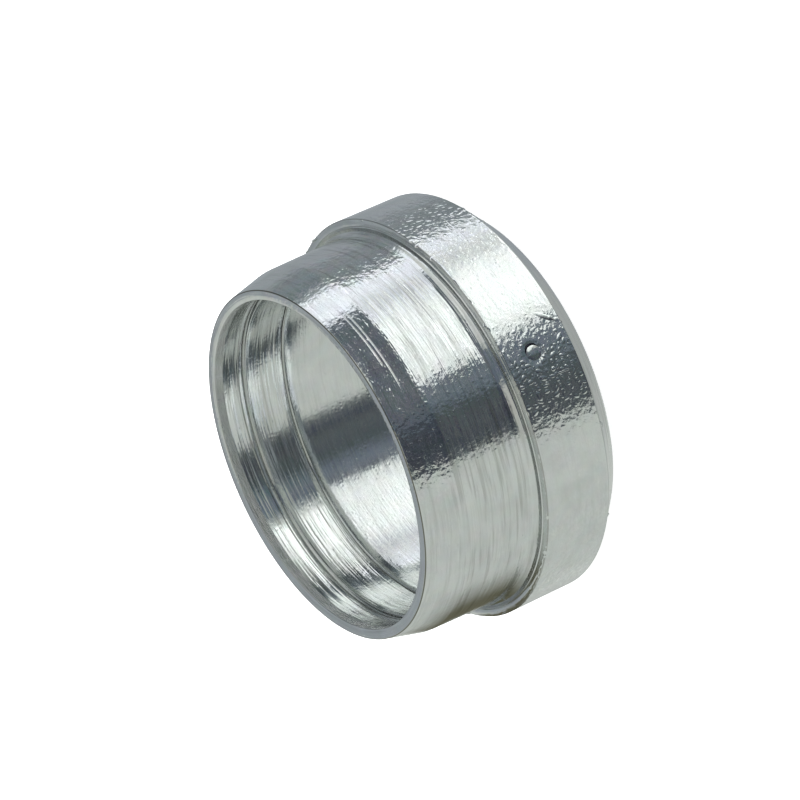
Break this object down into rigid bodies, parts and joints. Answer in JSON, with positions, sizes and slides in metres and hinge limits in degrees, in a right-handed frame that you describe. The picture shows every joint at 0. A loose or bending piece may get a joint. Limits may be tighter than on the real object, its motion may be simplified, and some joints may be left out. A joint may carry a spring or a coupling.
{
  "type": "cutting ring",
  "caption": "Turned steel cutting ring for a metric tube fitting: tapered nose with inner cutting edges, barrel, stop shoulder and a collar chamfered for the nut.",
  "frame": {"origin": "centre of the back face, on the ring's axis", "axes": "+Z along the ring's axis, from the back face towards the nose; X and Y lie across it"},
  "size_m": [0.0198, 0.0198, 0.0105],
  "materials": {
    "zinc_plated_steel": "turned, bright zinc plated"
  },
  "bodies": {
    "root": {"cutting_ring": "zinc_plated_steel"}
  },
  "joints": []
}
